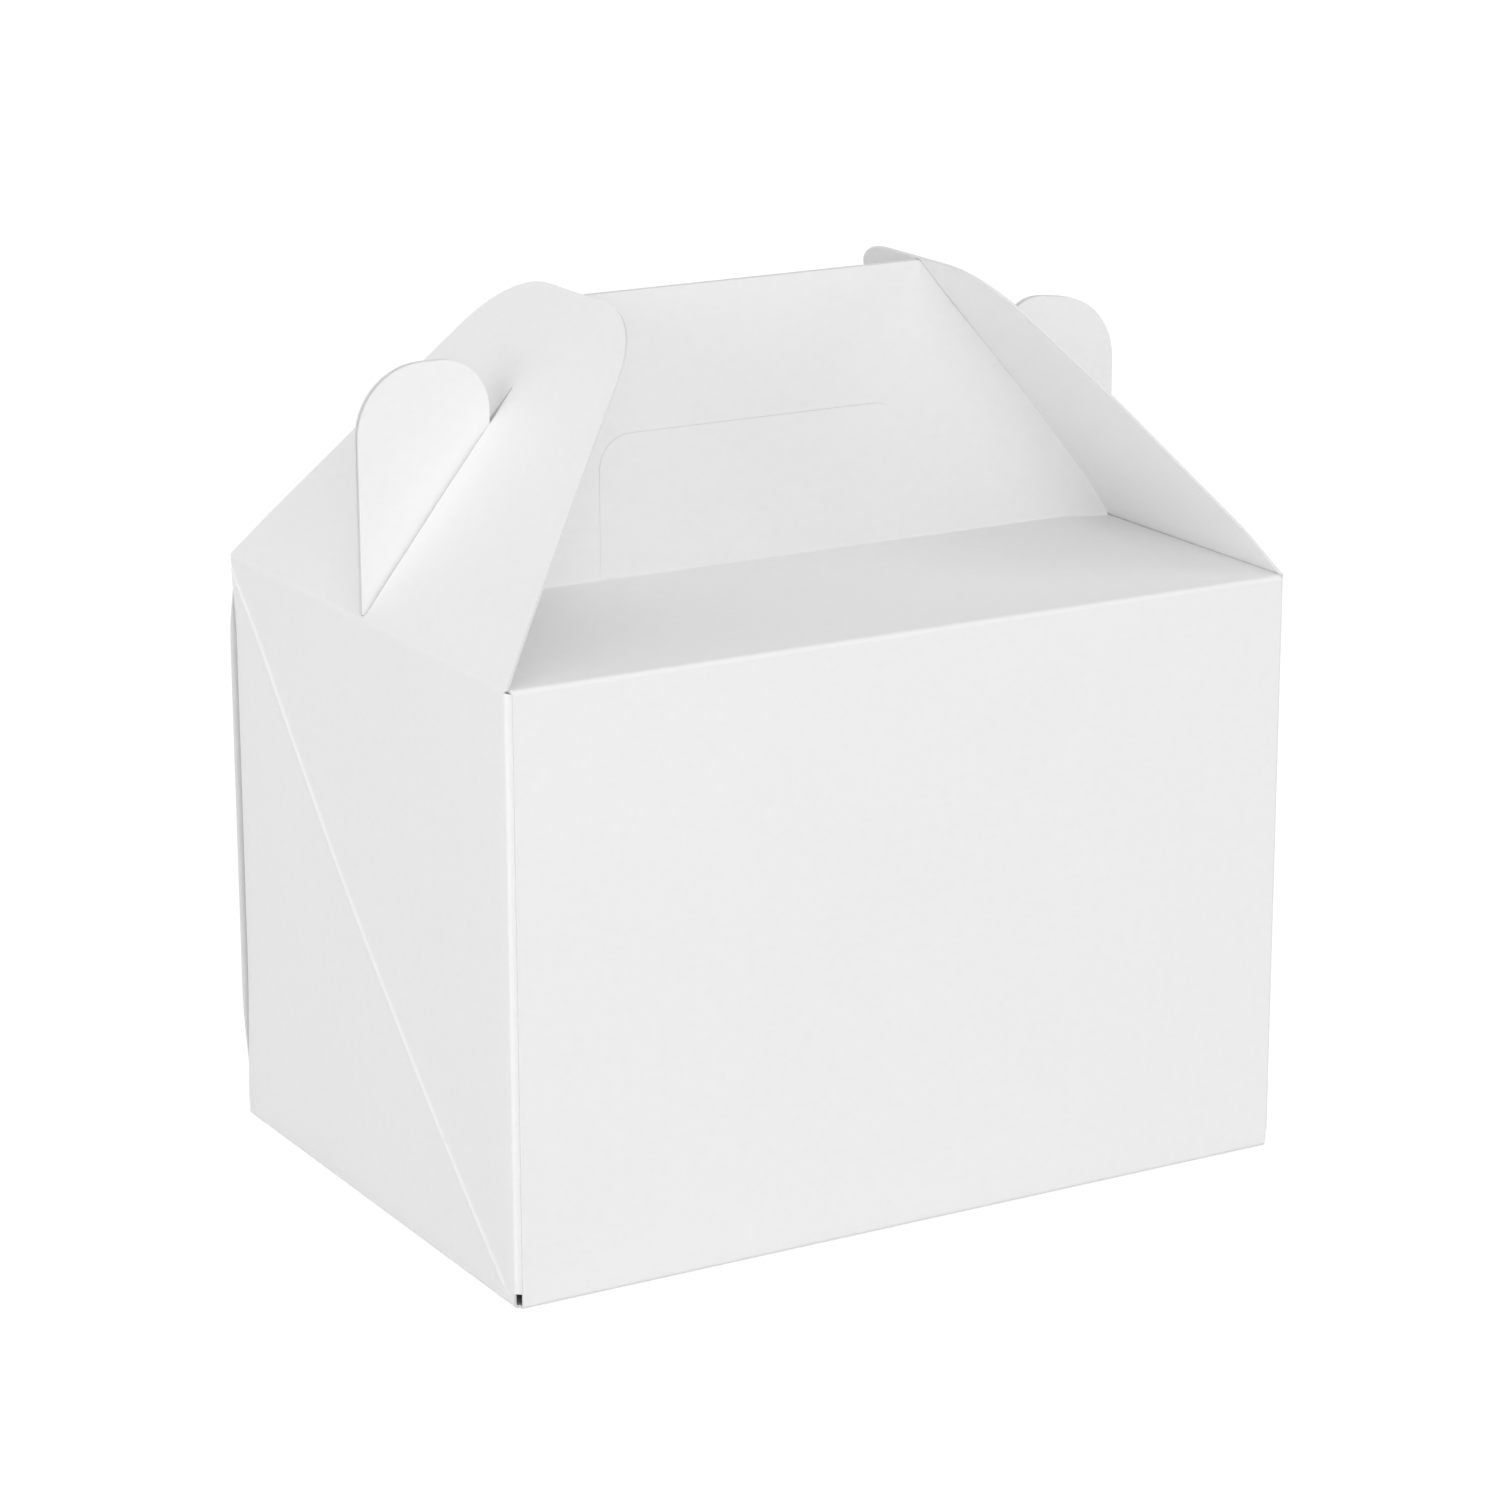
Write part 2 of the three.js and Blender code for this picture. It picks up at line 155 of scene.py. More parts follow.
class FoldPath:
    """The middle line of a folded strip, measured by arc length: straight runs between corners,
    each corner an arc of radius FOLD."""

    def __init__(self, corners):
        """Cuts each leg short at its corners, by FOLD times the tangent of half the turn, and
        joins the legs by arcs. A run holds its two arc lengths, start point, heading and turn."""
        corners = np.array(corners, float)
        legs = np.diff(corners, axis=0)
        headings = np.arctan2(legs[:, 1], legs[:, 0])
        turns = np.arctan2(np.sin(np.diff(headings)), np.cos(np.diff(headings)))
        cut = np.concatenate([[0], FOLD * np.tan(np.abs(turns) / 2), [0]])
        self.runs = []
        self.folds = []
        v = 0.0
        for i, heading in enumerate(headings):
            along = np.array([math.cos(heading), math.sin(heading)])
            start = corners[i] + cut[i] * along
            length = np.linalg.norm(legs[i]) - cut[i] - cut[i + 1]
            self.runs.append((v, v + length, start, heading, 0.0))
            v += length
            if i < len(turns):
                bend = FOLD * abs(turns[i])
                self.runs.append((v, v + bend, start + length * along, heading, turns[i]))
                self.folds.append(v + bend / 2)
                v += bend
        self.length = v

    def at(self, v):
        """Points and left-hand normals at arc lengths v. On a straight run a point is the start
        plus the distance times the heading. On an arc it circles the centre at FOLD, with the
        heading turned by the distance over FOLD."""
        point = np.zeros((len(v), 2))
        angle = np.zeros(len(v))
        last = len(self.runs) - 1
        for i, (low, high, start, heading, turn) in enumerate(self.runs):
            past_start = v >= low if i else v > -np.inf
            short_of_end = v <= high if i < last else v < np.inf
            here = past_start & short_of_end
            s = v[here] - low
            if turn == 0.0:
                point[here] = start + s[:, None] * np.array([math.cos(heading), math.sin(heading)])
                angle[here] = heading
                continue
            side = math.copysign(1, turn)
            centre = start + side * FOLD * np.array([-math.sin(heading), math.cos(heading)])
            a = heading + side * s / FOLD
            point[here] = centre + side * FOLD * np.column_stack([np.sin(a), -np.cos(a)])
            angle[here] = a
        return point, np.column_stack([-np.sin(angle), np.cos(angle)])

    def straight(self, i):
        """Arc lengths at which straight run i starts and ends."""
        return self.runs[2 * i][:2]

    def rows(self, spread):
        """Arc lengths for rows of points, STEP apart, and FINE apart within a spread of each
        fold; then the fine ones by themselves."""
        across = np.arange(-spread, spread + FINE / 2, FINE)
        near = np.concatenate([f + across for f in self.folds])
        plain = np.linspace(0, self.length, int(self.length / STEP) + 1)
        gap = np.abs(plain[:, None] - np.array(self.folds)[None]).min(1)
        both = np.concatenate([plain[gap > spread + FINE], near])
        return np.unique(both[(both >= 0) & (both <= self.length)]), near


def arc(cx, cy, radius, start, end, count=14):
    """Points of an arc about (cx, cy), evenly from one angle to another in degrees."""
    a = np.radians(np.linspace(start, end, count))
    return np.column_stack([cx + radius * np.cos(a), cy + radius * np.sin(a)])


def densify(loop, rows):
    """A closed outline with more points: STEP apart along each side, and where the side crosses
    a row, unless that is right at its end. A point close to such a crossing is left out."""
    level = 1e-9
    end = 1e-4
    close = 0.1 * MM
    out = []
    for a, b in zip(loop, np.roll(loop, -1, axis=0)):
        side = b - a
        length = np.hypot(*side)
        t = np.arange(0, 1, STEP / max(length, STEP))
        if abs(side[1]) > level:
            cross = (rows - a[1]) / side[1]
            cross = cross[(cross > end) & (cross < 1 - end)]
            if len(cross):
                apart = np.abs(t[:, None] - cross[None]).min(1) * length
                t = np.unique(np.concatenate([t[(apart > close) | (t == 0)], cross]))
        out.append(a + side * t[:, None])
    return np.concatenate(out)


def inside(points, loops):
    """True for the points inside the outlines, by counting the sides that a ray crosses."""
    hit = np.zeros(len(points), bool)
    x, y = points[:, :1], points[:, 1:]
    for loop in loops:
        a, b = loop.T, np.roll(loop, -1, axis=0).T
        crosses = (a[1] > y) != (b[1] > y)
        rise = np.where(b[1] == a[1], 1, b[1] - a[1])
        at = a[0] + (y - a[1]) * (b[0] - a[0]) / rise
        hit ^= np.count_nonzero(crosses & (x < at), axis=1) % 2 == 1
    return hit


def straight_distance(gap):
    """The length of each gap, from its two sides."""
    return np.hypot(gap[..., 0], gap[..., 1])


def square_distance(gap):
    """The longer side of each gap."""
    return np.abs(gap).max(2)


def nearest(points, others, distance):
    """The least distance from each point to the others, taken in batches to keep arrays small."""
    batches = 20
    least = np.full(len(points), np.inf)
    for batch in np.array_split(others, batches):
        least = np.minimum(least, distance(points[:, None] - batch[None]).min(1))
    return least


def lines_through(points, axis, lines, loops):
    """Pairs of neighbouring points that lie on the given lines across the blank."""
    on_line = 1e-8
    pairs = []
    for line in lines:
        on = np.flatnonzero(np.abs(points[:, axis] - line) < on_line)
        on = on[np.argsort(points[on, 1 - axis])]
        middles = (points[on[:-1]] + points[on[1:]]) / 2
        within = inside(middles, loops)
        pairs += [(int(a), int(b)) for a, b in zip(on[:-1][within], on[1:][within])]
    return pairs


def die_cut(loops, columns, rows, folds=(), bends=(), extra=None):
    """Flat points and triangles of a blank: its outlines, filled with a grid of points at the
    given columns and rows and with any extra points, joined by a Delaunay triangulation that
    keeps the rows in folds and the columns in bends as lines."""
    loops = [densify(np.asarray(loop), rows) for loop in loops]
    rim = np.concatenate(loops)
    u, v = np.meshgrid(columns, rows)
    grid = np.column_stack([u.ravel(), v.ravel()])
    if extra is not None:
        every_second = extra[::2]
        grid = grid[nearest(grid, every_second, square_distance) > EXTRA_CLEAR]
        grid = np.concatenate([grid, extra])
    grid = grid[inside(grid, loops)]
    grid = grid[nearest(grid, rim, straight_distance) > RIM_CLEAR]
    edges = []
    first = 0
    for loop in loops:
        edges += [(first + i, first + (i + 1) % len(loop)) for i in range(len(loop))]
        first += len(loop)
    every = np.concatenate([rim, grid])
    edges += lines_through(every, 1, folds, loops) + lines_through(every, 0, bends, loops)
    points = [Vector(p) for p in every / MM]
    merge_distance = 1e-5
    verts, _, faces, *_ = delaunay_2d_cdt(points, edges, [], 0, merge_distance)
    flat = np.array([tuple(p) for p in verts]) * MM
    tris = np.array(faces)
    return flat, tris[inside(flat[tris].mean(1), loops)]


def folded_card(name, flat, tris, place, crease):
    """A card piece from a flat blank. place(u, v, w) folds flat points, w being the height above
    the card's middle. Both faces are placed, and strips along the rim close them."""
    n = len(flat)
    inner = place(flat[:, 0], flat[:, 1], np.full(n, CARD / 2))
    outer = place(flat[:, 0], flat[:, 1], np.full(n, -CARD / 2))
    halves = np.concatenate([tris[:, [0, 1]], tris[:, [1, 2]], tris[:, [2, 0]]])
    lone = ~np.isin(halves[:, 0] * n + halves[:, 1], halves[:, 1] * n + halves[:, 0])
    a, b = halves[lone].T
    rim = np.column_stack([b, a, a + n, b + n])
    points = np.concatenate([inner, outer])
    caps = np.concatenate([tris, tris[:, ::-1] + n])
    all_tris = np.concatenate([caps, rim[:, [0, 1, 2]], rim[:, [0, 2, 3]]])
    p, q, r = points[all_tris].transpose(1, 0, 2)
    if np.einsum("ij,ij->i", p, np.cross(q, r)).sum() < 0:
        caps, rim = caps[:, ::-1], rim[:, ::-1]
    mesh = bpy.data.meshes.new(name)
    mesh.from_pydata(points.tolist(), [], caps.tolist() + rim.tolist())
    mesh.polygons.foreach_set("use_smooth", np.ones(len(mesh.polygons), bool))
    # 1 on the rim faces, which the material greys: partly the board's grey core, partly painted
    # shade.
    edge = mesh.attributes.new("cut_edge", "FLOAT", "FACE")
    is_rim = np.arange(len(mesh.polygons)) >= len(caps)
    edge.data.foreach_set("value", is_rim.astype(np.float32))
    # The crease attribute holds a painted highlight: how much lighter the card's colour is made along
    # its folds.
    mark = mesh.attributes.new("crease", "FLOAT", "POINT")
    mark.data.foreach_set("value", np.tile(crease(flat[:, 0], flat[:, 1]), 2).astype(np.float32))
    mesh.set_sharp_from_angle(angle=SHARP_EDGE)
    mesh.update()
    piece = bpy.data.objects.new(name, mesh)
    bpy.context.scene.collection.objects.link(piece)
    return piece


def near_lines(v, lines, width):
    """1 on any of the lines, and a bell curve of the distance over the width beside them."""
    away = np.abs(v[:, None] - np.array(lines)[None]).min(1)
    return np.exp(-((away / width) ** 2))


def ramp(value, start, run):
    """0 up to start, 1 from a run beyond it, and an even curve between: three times the square
    of the share of the run, less twice its cube."""
    t = np.clip((value - start) / run, 0, 1)
    return t * t * (3 - 2 * t)


def pillow(u, v, half, low, high):
    """A bow over one panel: 1 in its middle, 0 at its edges, as a product of two half waves."""
    across = np.cos(np.clip(u / half, -1, 1) * math.pi / 2)
    along = np.sin(np.clip((v - low) / (high - low), 0, 1) * math.pi)
    return across * along


# The wrap: front centre panel, roof, front wall, base, back wall, roof and back centre panel.

WALL_Y = HALF_DEPTH - CARD / 2
ROOF_MIDDLE = ROOF_Z - CARD / 2
BASE_MIDDLE = CARD / 2
WRAP = FoldPath([
    (-PANEL_Y, HANDLE_TOP),
    (-PANEL_Y, ROOF_MIDDLE + ROOF_RISE),
    (-WALL_Y, ROOF_MIDDLE),
    (-WALL_Y, BASE_MIDDLE),
    (WALL_Y, BASE_MIDDLE),
    (WALL_Y, ROOF_MIDDLE),
    (PANEL_Y, ROOF_MIDDLE + ROOF_RISE),
    (PANEL_Y, HANDLE_TOP),
])
WRAP_SPREAD = 1.2 * MM  # of the fine rows each side of a fold
FRONT_ROOF, FRONT_WALL, BACK_WALL, BACK_ROOF = 1, 2, 4, 5  # straight runs of the wrap

# How the card bows and leans.
FLAP_BOWS = {-1: 0.3 * MM, 1: 1.0 * MM}  # of the left and the right end flap, outwards
FLAP_BOW_RISE = 14 * MM
FLAP_BOW_END = 45 * MM
FLAP_BOW_FALL = 38 * MM
ROOF_BOW = 0.4 * MM
WALL_BOW = 0.5 * MM
WRAP_BOWS = {FRONT_ROOF: ROOF_BOW, FRONT_WALL: WALL_BOW, BACK_WALL: WALL_BOW, BACK_ROOF: ROOF_BOW}
EAR_MARGIN = 1 * MM  # how far past its inner edge an ear is taken to reach
EARS_TOGETHER = 0.2 * MM  # how far each card of a pair of ears leans to the other
EARS_PARTED = 0.35 * MM  # how far the back one stands off near its top
EAR_LEAN_START = 60 * MM
EAR_LEAN_RUN = 30 * MM
EAR_LEAN_FADE = 12 * MM
EAR_PART_START = 8 * MM
EAR_PART_RUN = 24 * MM
RIGHT_EAR_IN = 0.4 * MM
RIGHT_EAR_DOWN = 1.4 * MM
RIGHT_EAR_RISE = 16 * MM
RIGHT_EAR_START = 70 * MM
RIGHT_EAR_RUN = 18 * MM
BACK_EDGE_OUT = 1.6 * MM
BACK_EDGE_RUN = 25 * MM
BACK_EDGE_FOOT = 30 * MM
BACK_EDGE_HEAD = 20 * MM
ROOF_END_DROP = 0.8 * ROOF_RISE
ROOF_END_START = 84 * MM
ROOF_END_RUN = 12 * MM
ROOF_END_FADE = 20 * MM


def flap_bow(s, side):
    """How far a flap's card bows outwards at a distance s up from its fold: a ramp up over its
    foot, times a ramp down over its upper half."""
    return FLAP_BOWS[side] * ramp(s, 0, FLAP_BOW_RISE) * (1 - ramp(s, FLAP_BOW_END, FLAP_BOW_FALL))


def shoulder_z(x, side):
    """Height of the handle's sloping shoulder at a distance x from the middle: a straight line
    at the shoulder's angle, just under the bowed flap."""
    up = (FLAP_HINGE.x - x) / math.cos(SHOULDER)
    drop = (CARD / 2 + SHOULDER_GAP - flap_bow(up, side)) / math.cos(SHOULDER)
    return FLAP_HINGE.z + (FLAP_HINGE.x - x) * math.tan(SHOULDER) - drop


def centre_panel_side(side):
    """Outline of a centre panel on one side, from its foot up to the handle's top corner, as
    (x, height): the ear with its two round corners, the notch and the sloping shoulder."""
    foot = ROOF_Z + ROOF_RISE + FOLD - CARD / 2
    outer = arc(EAR_OUTER - EAR_OUTER_RADIUS, EAR_TOP - EAR_OUTER_RADIUS, EAR_OUTER_RADIUS, 0, 90)
    inner = arc(EAR_INNER + EAR_INNER_RADIUS, EAR_TOP - EAR_INNER_RADIUS, EAR_INNER_RADIUS, 90, 180)
    x = np.arange(EAR_INNER, EAR_INNER - SHOULDER_REACH, -SHOULDER_STEP)
    slope = np.column_stack([x, shoulder_z(x, side)])
    slope = slope[slope[:, 1] < HANDLE_TOP - HANDLE_CORNER]
    last, before = slope[-1], slope[-2]
    x_top = last[0] + (HANDLE_TOP - last[1]) * (last[0] - before[0]) / (last[1] - before[1])
    start = [(ROOF_HALF - ROOF_TAPER, foot), (EAR_OUTER, foot)]
    return np.concatenate([start, outer, inner, slope, [(x_top, HANDLE_TOP)]])


def to_flat(outline):
    """Heights on the front centre panel as arc lengths along the wrap: the handle's top less
    the height."""
    return outline * [1, -1] + [0, HANDLE_TOP]


def to_back(outline):
    """A flat outline turned round to the wrap's other end: the wrap's length less v."""
    return outline * [1, -1] + [0, WRAP.length]


def wrap_outline():
    """The wrap's flat outline: a centre panel at each end of a strip, which is a little wider
    over the roof than down the walls."""
    edge = WRAP.folds[1]
    roof = [(WRAP_HALF, edge + ROOF_STEP), (ROOF_HALF, edge - ROOF_STEP)]
    right = np.concatenate([roof, to_flat(centre_panel_side(1))])
    left = np.concatenate([roof, to_flat(centre_panel_side(-1))])
    front = np.concatenate([left * [-1, 1], right[::-1]])
    return np.concatenate([front, to_back(front[::-1])])


def window_outline(grow):
    """A hand tab's flat outline on the front centre panel, grown by a margin all round: square
    at its foot, with an arc at each top corner."""
    half = TAB_HIGH.x + grow
    foot = TAB_LOW.z
    top = TAB_HIGH.z + grow
    r = TAB_CORNER_RADIUS + grow
    right = arc(half - r, top - r, r, 0, 90)
    left = arc(r - half, top - r, r, 90, 180)
    return np.concatenate([[(-half, foot), (half, foot)], right, left])


def past_foot(v):
    """Distance along the card from the nearer centre panel's foot, out over the roof. It is
    below 0 on the panel."""
    return np.minimum(v, WRAP.length - v) - (HANDLE_TOP - ROOF_Z)


def ear_height(u, v):
    """Height of a flat point of the wrap over the end flaps' slope, 0 below it."""
    z = HANDLE_TOP - np.minimum(v, WRAP.length - v)
    slope = FLAP_HINGE.z + (FLAP_HINGE.x - np.abs(u)) * math.tan(SHOULDER)
    return np.clip(z - slope, 0, None) * (np.abs(u) > EAR_INNER - EAR_MARGIN)


def wrap_bow(u, v):
    """How far the wrap's card bows in: each panel's own bow times a pillow over it."""
    bow = np.zeros(len(u))
    for run, most in WRAP_BOWS.items():
        low, high = WRAP.straight(run)
        bow += most * pillow(u, v, WRAP_HALF, low, high)
    return bow


def ear_lean(u, v):
    """How far towards the back the cards of the ears lean, fading in along the box and out over
    the roof. The front one leans to the back one, and the back one to the front one, less a
    stand-off that grows up the ear."""
    held = ramp(np.abs(u), EAR_LEAN_START, EAR_LEAN_RUN) * (1 - ramp(past_foot(v), 0, EAR_LEAN_FADE))
    together = EARS_TOGETHER * held
    parted = EARS_PARTED * ramp(ear_height(u, v), EAR_PART_START, EAR_PART_RUN) * held
    return np.where(v < WRAP.length / 2, together, parted - together)


def back_edge_out(u, v):
    """How far the back wall's left edge stands out: a ramp towards the edge, times one up from
    the wall's foot and one down from its top."""
    low, high = WRAP.straight(BACK_WALL)
    up_wall = ramp(v, low, BACK_EDGE_FOOT) * ramp(high - v, 0, BACK_EDGE_HEAD)
    return BACK_EDGE_OUT * up_wall * ramp(-u, WRAP_HALF - BACK_EDGE_RUN, BACK_EDGE_RUN)


def roof_end_drop(u, v):
    """How far the roof's raised middle is let down towards the box's ends: most at the centre
    panel's foot, less in a straight line out to the roof's edge, and fading up the panel."""
    out = past_foot(v)
    share = np.where(out > 0, 1 - out / HALF_DEPTH, 1 - ramp(-out, 0, ROOF_END_FADE))
    at_end = ramp(np.abs(u), ROOF_END_START, ROOF_END_RUN)
    return ROOF_END_DROP * at_end * np.clip(share, 0, 1)


def place_wrap(u, v, w):
    """Carries flat points round the wrap's path, at w plus the card's bow along the normal. The
    back wall's left edge then stands out, the ears lean, those on the right are drawn in and
    down, and the roof's ends are let down."""
    point, normal = WRAP.at(v)
    y, z = (point + normal * (w + wrap_bow(u, v))[:, None]).T
    right_ear = ramp(ear_height(u, v), 0, RIGHT_EAR_RISE) * ramp(u, RIGHT_EAR_START, RIGHT_EAR_RUN)
    x = u - back_edge_out(u, v) - RIGHT_EAR_IN * right_ear
    y = y + ear_lean(u, v)
    z = z - RIGHT_EAR_DOWN * right_ear - roof_end_drop(u, v)
    return np.column_stack([x, y, z])


def wrap_crease_highlight(u, v):
    """The wrap's painted crease highlight: a faint one along each fold."""
    return WRAP_CREASE_HIGHLIGHT * near_lines(v, WRAP.folds, CREASE_HIGHLIGHT_WIDTH)


def make_wrap():
    """The wrap: its blank with both hand holes cut out, folded round its path."""
    rows, folds = WRAP.rows(WRAP_SPREAD)
    columns = np.linspace(-WRAP_HALF, WRAP_HALF, int(2 * WRAP_HALF / STEP) + 1)[1:-1]
    front_hole = to_flat(window_outline(KERF))
    outlines = [wrap_outline(), front_hole, to_back(front_hole)]
    flat, tris = die_cut(outlines, columns, rows, folds)
    return folded_card("card_wrap", flat, tris, place_wrap, wrap_crease_highlight)


# An end: a lap of the base, the end wall with a glue flap at each upright edge, and the flap.

FLAP_TIP = (
    FLAP_HINGE.x - FLAP_LENGTH * math.cos(SHOULDER),
    FLAP_HINGE.z + FLAP_LENGTH * math.sin(SHOULDER),
)
UPRIGHT = FoldPath([
    (WRAP_HALF, BASE_MIDDLE),
    (WALL_X, BASE_MIDDLE),
    (WALL_X, FLAP_HINGE.z),
    FLAP_TIP,
])
GLUE_X = HALF_LENGTH - GLUE_FLAP_WIDTH
ROUND = FoldPath([
    (GLUE_X, -GLUE_MIDDLE),
    (WALL_X, -GLUE_MIDDLE),
    (WALL_X, GLUE_MIDDLE),
    (GLUE_X, GLUE_MIDDLE),
])
WALL_V = UPRIGHT.straight(1)[0] - (BASE_MIDDLE + FOLD)  # arc length at height 0, up the wall
HINGE_V = UPRIGHT.folds[1]
END_SPREAD = 1.6 * MM  # of the fine rows each side of a fold
FOLD_PARTS = 6  # columns round an upright edge
GLUE_FLAP_COLUMNS = 4
SLOT_COLUMNS = np.array([1.1, 1.4, 1.9, 2.6, 3.6, 5.0, 6.6]) * MM  # beside the slot
SLIT_ROW_STEP = 0.8 * MM

# The slot's two lips, where the ears push them apart.
FRONT_LIP = 0.35 * MM  # how far the front one is raised
BACK_LIP = 2.8 * MM  # how far the back one dips
LIP_SHARES = {-1: 1, 1: 0.15}  # of the left and the right end flap
LIP_START = 12 * MM
LIP_RISE = 26 * MM
LIP_END = 50 * MM
LIP_FALL = 12 * MM
LIP_REACH = 8 * MM
LIP_HELD = 0.9 * MM  # half the width over which the slit's card stays flat
LIP_HELD_RUN = 0.6 * MM

# The end wall's own shape.
WAISTS = {-1: 1.9 * MM, 1: 0.4 * MM}  # how far in the left and right ends' back edges stand
WAIST_FOOT = 40 * MM
WAIST_HEAD = 20 * MM
END_WALL_BOW = 0.35 * MM
RIDGE_HEIGHT = 0.3 * MM
RIDGE_WIDTH = 0.6 * MM
RIDGE_FADE = 6 * MM


def end_outline():
    """The end's flat outline: the lap, the wall, a glue flap each side with slanted ends, the
    strips above them, and the tapering flap with its two round corners."""
    reach = ROUND.length / 2
    low = WALL_V + GLUE_FLAP_LIFT
    high = WALL_V + ROOF_Z - GLUE_FLAP_DROP
    tip = HINGE_V + FLAP_LENGTH
    tip_half = FLAP_HALF - FLAP_LENGTH * math.tan(FLAP_TAPER)
    turn = math.pi / 2 - FLAP_TAPER
    cx = tip_half - FLAP_CORNER_RADIUS * math.tan(turn / 2)
    cy = tip - FLAP_CORNER_RADIUS
    wall = [
        (UPRIGHT_HALF, 0),
        (UPRIGHT_HALF, low),
        (UPRIGHT_HALF + STRIP_FOOT, low),
        (reach, low + GLUE_FLAP_SLANT),
        (reach, high - GLUE_FLAP_SLANT),
        (UPRIGHT_HALF + STRIP_HEAD, high),
    ]
    strip = [(UPRIGHT_HALF + out, HINGE_V - drop) for out, drop in STRIP_STEPS]
    flap_foot = [(FLAP_HALF, HINGE_V + FLAP_FOOT_RISE)]
    corner = arc(cx, cy, FLAP_CORNER_RADIUS, math.degrees(FLAP_TAPER), 90)
    right = np.concatenate([wall, strip, flap_foot, corner])
    return np.concatenate([right, right[::-1] * [-1, 1]])


def slot_outline():
    """The slot for the ears: a round foot at the fold, then a slot that widens a little, and
    narrows to a slit where the ears end."""
    low = arc(0, HINGE_V + SLOT_FOOT, SLOT_FOOT_RADIUS, 180, 360)
    high = arc(0, HINGE_V + SLOT_LENGTH - SLIT_TIP_RADIUS, SLIT_TIP_RADIUS, 0, 180, count=7)
    right = [(SLOT_HALF, HINGE_V + SLOT_TAPER_START), (SLIT_HALF, HINGE_V + SLIT_START)]
    left = np.array(right[::-1]) * [-1, 1]
    return np.concatenate([low, right, high, left])


def flap_lift(u, v, side):
    """Height of a flap's surface, inwards: each lip's own height, times ramps up and down along
    the slot, a decay away from it and a ramp that keeps the slit flat, less the flap's bow."""
    s = v - HINGE_V
    along = ramp(s, LIP_START, LIP_RISE) * (1 - ramp(s, LIP_END, LIP_FALL))
    from_slot = np.clip(np.abs(u) - SLOT_HALF, 0, None)
    lip = np.where(u < 0, -FRONT_LIP, BACK_LIP) * along * np.exp(-from_slot / LIP_REACH)
    lip *= LIP_SHARES[side] * ramp(np.abs(u), LIP_HELD, LIP_HELD_RUN)
    return lip - flap_bow(s, side)


DIAGONAL_START = np.array([DIAGONAL_FOOT - HALF_DEPTH, WALL_V])
DIAGONAL_END = np.array([HALF_DEPTH, WALL_V + DIAGONAL_TOP])
DIAGONAL_LENGTH = np.hypot(*(DIAGONAL_END - DIAGONAL_START))
DIAGONAL_ALONG = (DIAGONAL_END - DIAGONAL_START) / DIAGONAL_LENGTH
DIAGONAL_ACROSS = np.array([DIAGONAL_ALONG[1], -DIAGONAL_ALONG[0]])
DIAGONAL_STEP = 2 * MM
DIAGONAL_OFFSETS = np.array([-2.4, -1.4, -0.8, -0.4, 0, 0.4, 0.8, 1.4, 2.4]) * MM


def diagonal_sag(along):
    """How far the crease sags below a straight line, at a distance along it: half a sine wave."""
    return DIAGONAL_SAG * np.sin(np.clip(along / DIAGONAL_LENGTH, 0, 1) * math.pi)


def from_diagonal(u, v):
    """Distance of flat points of the end wall from its diagonal crease: the distance across the
    straight line, less the sag."""
    away = np.column_stack([u, v]) - DIAGONAL_START
    return away @ DIAGONAL_ACROSS - diagonal_sag(away @ DIAGONAL_ALONG)


def diagonal_points():
    """Flat points in rows along the diagonal crease: steps along the straight line, moved across
    it by each offset plus the sag."""
    s = DIAGONAL_STEP * np.arange(1, (DIAGONAL_LENGTH - MM) / DIAGONAL_STEP)
    across = DIAGONAL_OFFSETS[:, None] + diagonal_sag(s)[None]
    on_line = DIAGONAL_START + s[:, None] * DIAGONAL_ALONG
    return (on_line[None] + across[:, :, None] * DIAGONAL_ACROSS).reshape(-1, 2)


def diagonal_profile(u, v):
    """Height of the wall's surface, inwards: a broad shallow pillow, less a thin bell-shaped
    ridge along its diagonal."""
    on_wall = ramp(v, WALL_V, RIDGE_FADE) * ramp(HINGE_V - v, 0, RIDGE_FADE)
    ridge = RIDGE_HEIGHT * np.exp(-((from_diagonal(u, v) / RIDGE_WIDTH) ** 2))
    return END_WALL_BOW * pillow(u, v, UPRIGHT_HALF, WALL_V, HINGE_V) - ridge * on_wall


def place_end(side):
    """A function that folds the end's flat points: up the wall and over the flap along v, and
    round the two upright edges along u. side is 1 for the right end and -1 for the left. The
    back upright edge is drawn in a little between its ends, more on the left."""

    def place(u, v, w):
        """Points on the upright path at v, moved along its normal by w and the surface's height.
        Those past an upright edge take their place round it, at u along the other path."""
        up, up_normal = UPRIGHT.at(v)
        turned = np.abs(u) > UPRIGHT_HALF
        on_wall = (v > WALL_V) & (v < HINGE_V)
        shape = np.where(v < HINGE_V, diagonal_profile(u, v), flap_lift(u, v, side))
        lift = w + np.where(turned, 0, shape)
        x = up[:, 0] + up_normal[:, 0] * lift
        z = up[:, 1] + up_normal[:, 1] * lift
        y = u.copy()
        folded = turned & on_wall
        around, around_normal = ROUND.at(u[folded] + ROUND.length / 2)
        x[folded] = around[:, 0] + around_normal[:, 0] * w[folded]
        y[folded] = around[:, 1] + around_normal[:, 1] * w[folded]
        z[folded] = up[folded, 1]
        waist = ramp(v, WALL_V, WAIST_FOOT) * ramp(HINGE_V - v, 0, WAIST_HEAD)
        y -= WAISTS[side] * waist * ramp(u, 0, UPRIGHT_HALF)
        return np.column_stack([side * x, y, z])

    return place


